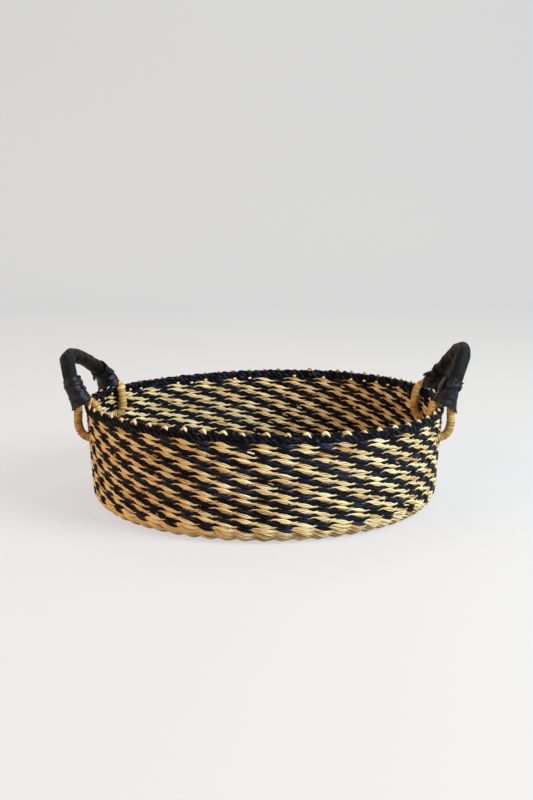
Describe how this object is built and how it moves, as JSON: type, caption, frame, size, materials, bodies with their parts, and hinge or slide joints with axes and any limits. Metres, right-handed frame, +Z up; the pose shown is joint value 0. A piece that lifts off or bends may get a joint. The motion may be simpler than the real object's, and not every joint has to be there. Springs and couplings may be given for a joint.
{
  "type": "woven tray",
  "caption": "Round low tray basket twined from natural and black straw, with leather-covered swing handles looped through the wall at either side.",
  "frame": {"origin": "middle of the flat underside of the base, on the resting plane", "axes": "+Z up out of the tray's mouth, +X towards the right handle, +Y away from the pictured front"},
  "size_m": [0.4457, 0.4, 0.1774],
  "materials": {
    "straw_natural": "dry twisted grass straw, satin along the fibres",
    "straw_black": "grass straw dyed black, with a faint cool sheen",
    "winding_grass": "fine grass strip, smooth and satin",
    "grip_leather": "matte black leather, wrinkled and lapped lengthwise",
    "cuff_leather": "smooth black leather with a soft sheen"
  },
  "bodies": {
    "basket": {"warp_stakes": "straw_natural", "wall_weft_outer": "straw_natural", "wall_weft_inner": "straw_natural", "border_weft_outer": "straw_black", "border_weft_inner": "straw_black", "heel_rows": "straw_natural", "heel_rows_inner": "straw_natural", "base_weft_under": "straw_natural", "base_weft_upper": "straw_natural"},
    "left_handle": {"left_handle_core": "straw_natural", "left_near_loop_winding": "winding_grass", "left_far_loop_winding": "winding_grass", "left_grip_sleeve": "grip_leather", "left_near_cuff": "cuff_leather", "left_far_cuff": "cuff_leather", "left_near_tie": "cuff_leather", "left_far_tie": "cuff_leather"},
    "right_handle": {"right_handle_core": "straw_natural", "right_near_loop_winding": "winding_grass", "right_far_loop_winding": "winding_grass", "right_grip_sleeve": "grip_leather", "right_near_cuff": "cuff_leather", "right_far_cuff": "cuff_leather", "right_near_tie": "cuff_leather", "right_far_tie": "cuff_leather"}
  },
  "joints": [
    {"name": "left_handle_swing", "type": "hinge", "parent": "basket", "child": "left_handle", "pos_m": [-0.18282, 0.00927, 0.078], "axis": [-0.0506, -0.9987, 0], "range_deg": [-6, 4]},
    {"name": "right_handle_swing", "type": "hinge", "parent": "basket", "child": "right_handle", "pos_m": [0.18625, 0, 0.078], "axis": [0, 1, 0], "range_deg": [-6, 4]}
  ]
}
